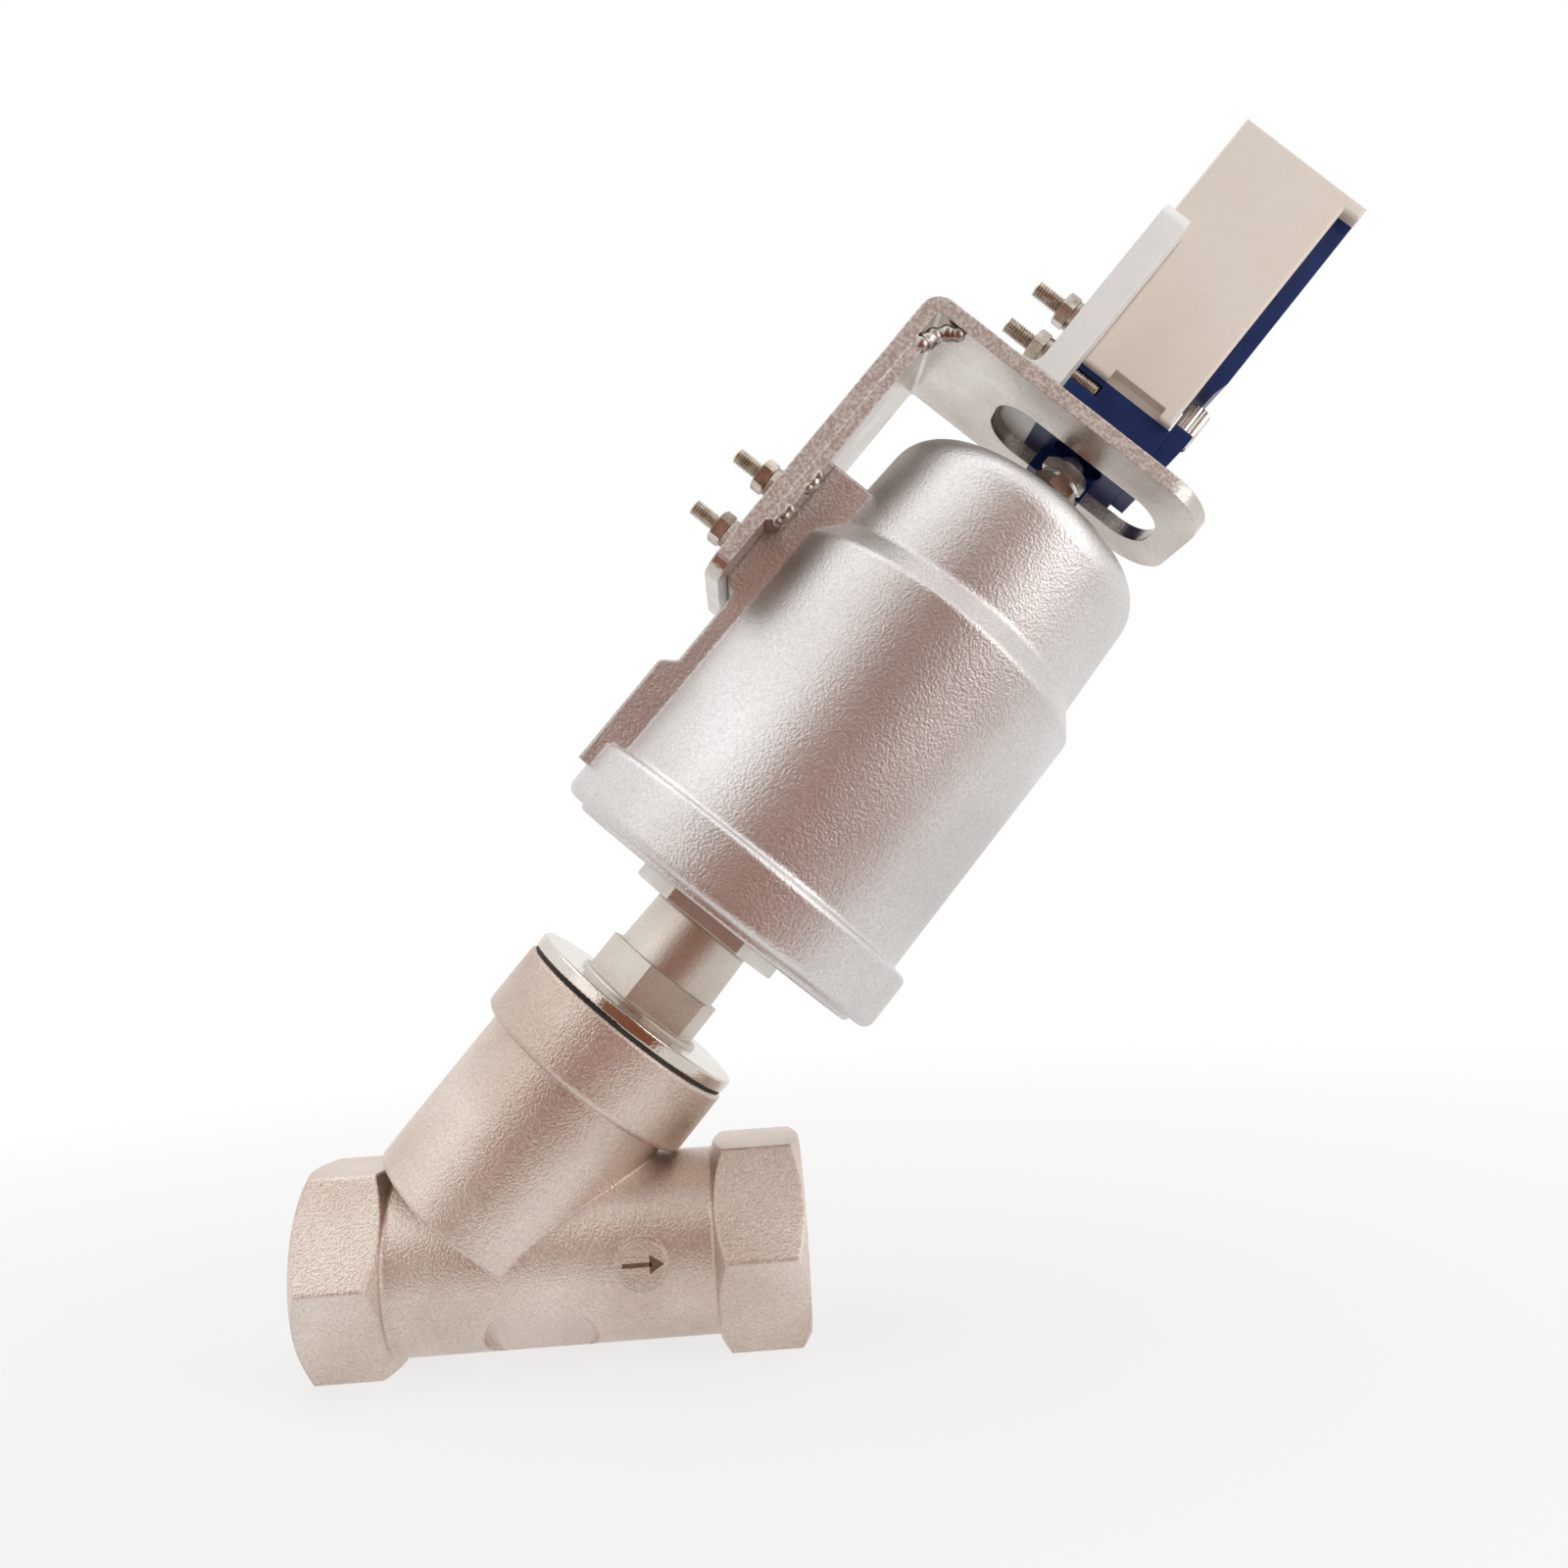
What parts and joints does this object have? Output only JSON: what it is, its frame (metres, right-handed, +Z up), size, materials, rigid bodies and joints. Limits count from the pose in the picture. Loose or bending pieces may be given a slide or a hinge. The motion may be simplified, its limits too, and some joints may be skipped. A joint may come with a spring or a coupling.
{
  "type": "angle seat valve",
  "caption": "Pneumatic angle seat valve: threaded Y-pattern body, tilted piston actuator, and a limit switch on a bent bracket over the indicator rod.",
  "frame": {"origin": "centre of the inlet port's mouth, on the pipe axis", "axes": "+X along the pipe axis from inlet to outlet, +Z up, the stem leaning 47.5 degrees from +X towards +Z in the XZ plane"},
  "size_m": [0.2443, 0.0836, 0.2602],
  "materials": {
    "cast_steel": "bead-blasted cast stainless steel, satin",
    "machined_steel": "machined stainless steel",
    "turned_steel": "turned and polished stainless steel",
    "nut_steel": "stainless steel nuts",
    "spring_steel": "oiled spring steel",
    "piston_alloy": "turned aluminium",
    "bush_bronze": "bearing bronze",
    "ptfe": "white filled PTFE",
    "seal_rubber": "black nitrile rubber",
    "gasket_fibre": "dark fibre gasket",
    "bright_plate": "bright nickel-plated steel plate with sawn edges",
    "zinc_fastener": "stainless M4 fasteners",
    "can_sheet": "satin metal sheet",
    "blue_plastic": "dark blue moulded plastic",
    "bright_trim": "bright turned metal"
  },
  "bodies": {
    "valve": {"valve_body": "cast_steel", "actuator_housing": "cast_steel", "base_plate": "cast_steel", "bonnet": "machined_steel", "lock_nut": "machined_steel", "packing_follower": "turned_steel", "main_spring_outer": "spring_steel", "main_spring_inner": "spring_steel", "packing_spring": "spring_steel", "guide_bush": "bush_bronze", "gland_bush": "bush_bronze", "rod_bush": "bush_bronze", "packing_rings": "ptfe", "base_o_ring": "seal_rubber", "stem_seal": "seal_rubber", "rod_seal": "seal_rubber", "bonnet_gasket": "gasket_fibre", "l_bracket": "bright_plate", "brace_bar": "bright_plate", "upright_tab": "bright_plate", "pad_studs": "zinc_fastener", "pad_washers": "zinc_fastener", "pad_spring_washers": "zinc_fastener", "pad_nuts": "zinc_fastener", "tab_bolts": "zinc_fastener", "tab_washers": "zinc_fastener", "tab_spring_washers": "zinc_fastener", "tab_nuts": "zinc_fastener", "switch_can": "can_sheet", "switch_base": "blue_plastic", "side_arm": "blue_plastic", "arm_foot": "blue_plastic", "adjusting_screw": "bright_trim", "base_screws": "bright_trim"},
    "stem_group": {"stem": "turned_steel", "plug_holder": "turned_steel", "seat_disc": "ptfe", "plug_washer": "turned_steel", "plug_nut": "nut_steel", "piston": "piston_alloy", "stem_o_ring": "seal_rubber", "piston_seal": "seal_rubber", "piston_guide_band": "ptfe", "piston_nut": "nut_steel", "indicator_rod": "turned_steel", "trip_nuts": "nut_steel", "trip_flag": "turned_steel"}
  },
  "joints": [
    {"name": "stem_slide", "type": "slide", "parent": "valve", "child": "stem_group", "axis": [0.6756, 0, 0.7373], "range_m": [0, 0.012], "stiffness_N_per_m": 4000, "springref_m": -0.004, "deforming": ["main_spring_outer", "main_spring_inner"]}
  ]
}
